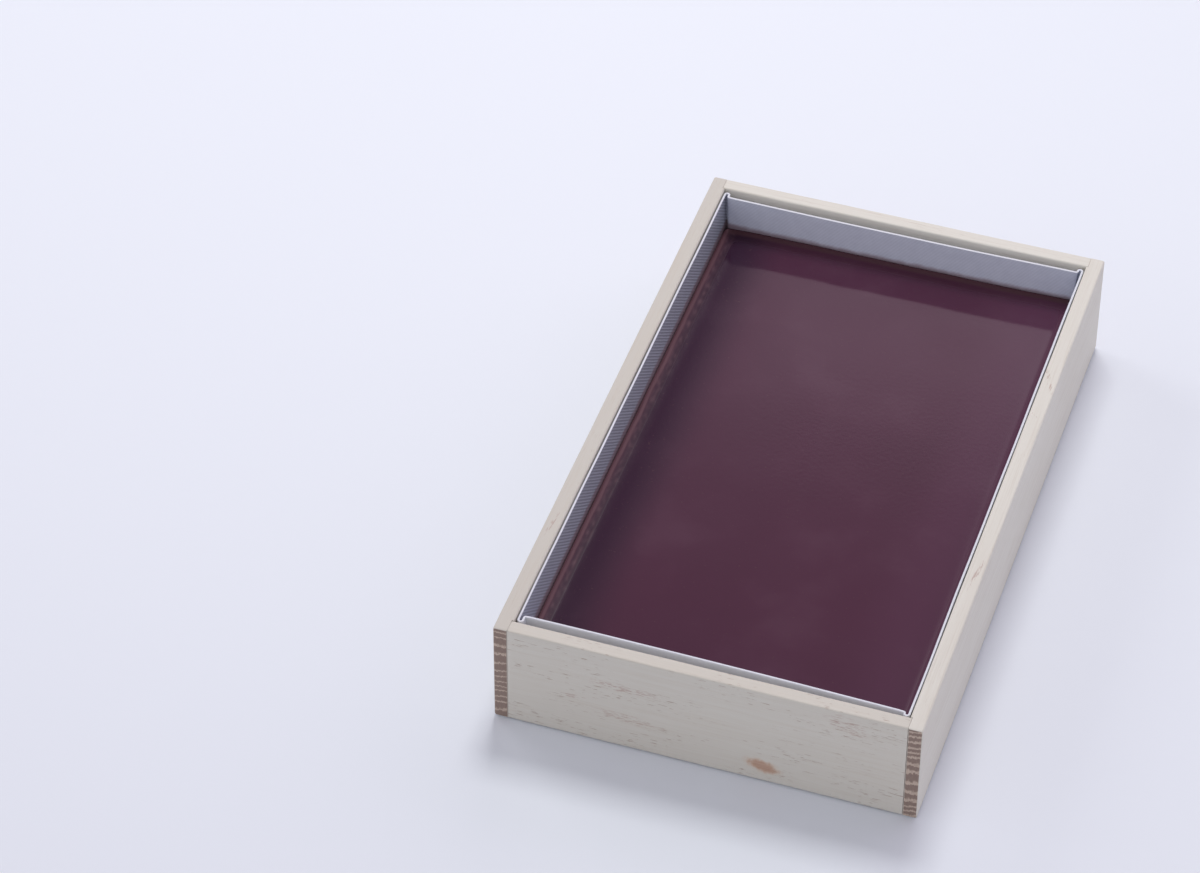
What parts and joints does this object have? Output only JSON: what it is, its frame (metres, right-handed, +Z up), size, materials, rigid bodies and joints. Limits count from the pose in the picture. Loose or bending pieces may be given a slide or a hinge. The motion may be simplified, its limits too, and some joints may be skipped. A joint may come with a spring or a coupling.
{
  "type": "yokan in a wooden box",
  "caption": "Soft red bean yokan set in a low open wooden box: a dark glossy slab whose edge climbs the walls of a folded coated-paper tray.",
  "frame": {"origin": "middle of the box's underside", "axes": "+X across the width to the right, +Y along the length from the front end to the back end, +Z up"},
  "size_m": [0.12, 0.199, 0.034],
  "materials": {
    "wood": "matte",
    "paper": "satin",
    "yokan": "gloss"
  },
  "bodies": {
    "root": {"box_side_left": "wood", "box_side_right": "wood", "box_end_front": "wood", "box_end_back": "wood", "box_bottom": "wood", "paper_tray": "paper", "yokan": "yokan"}
  },
  "joints": []
}
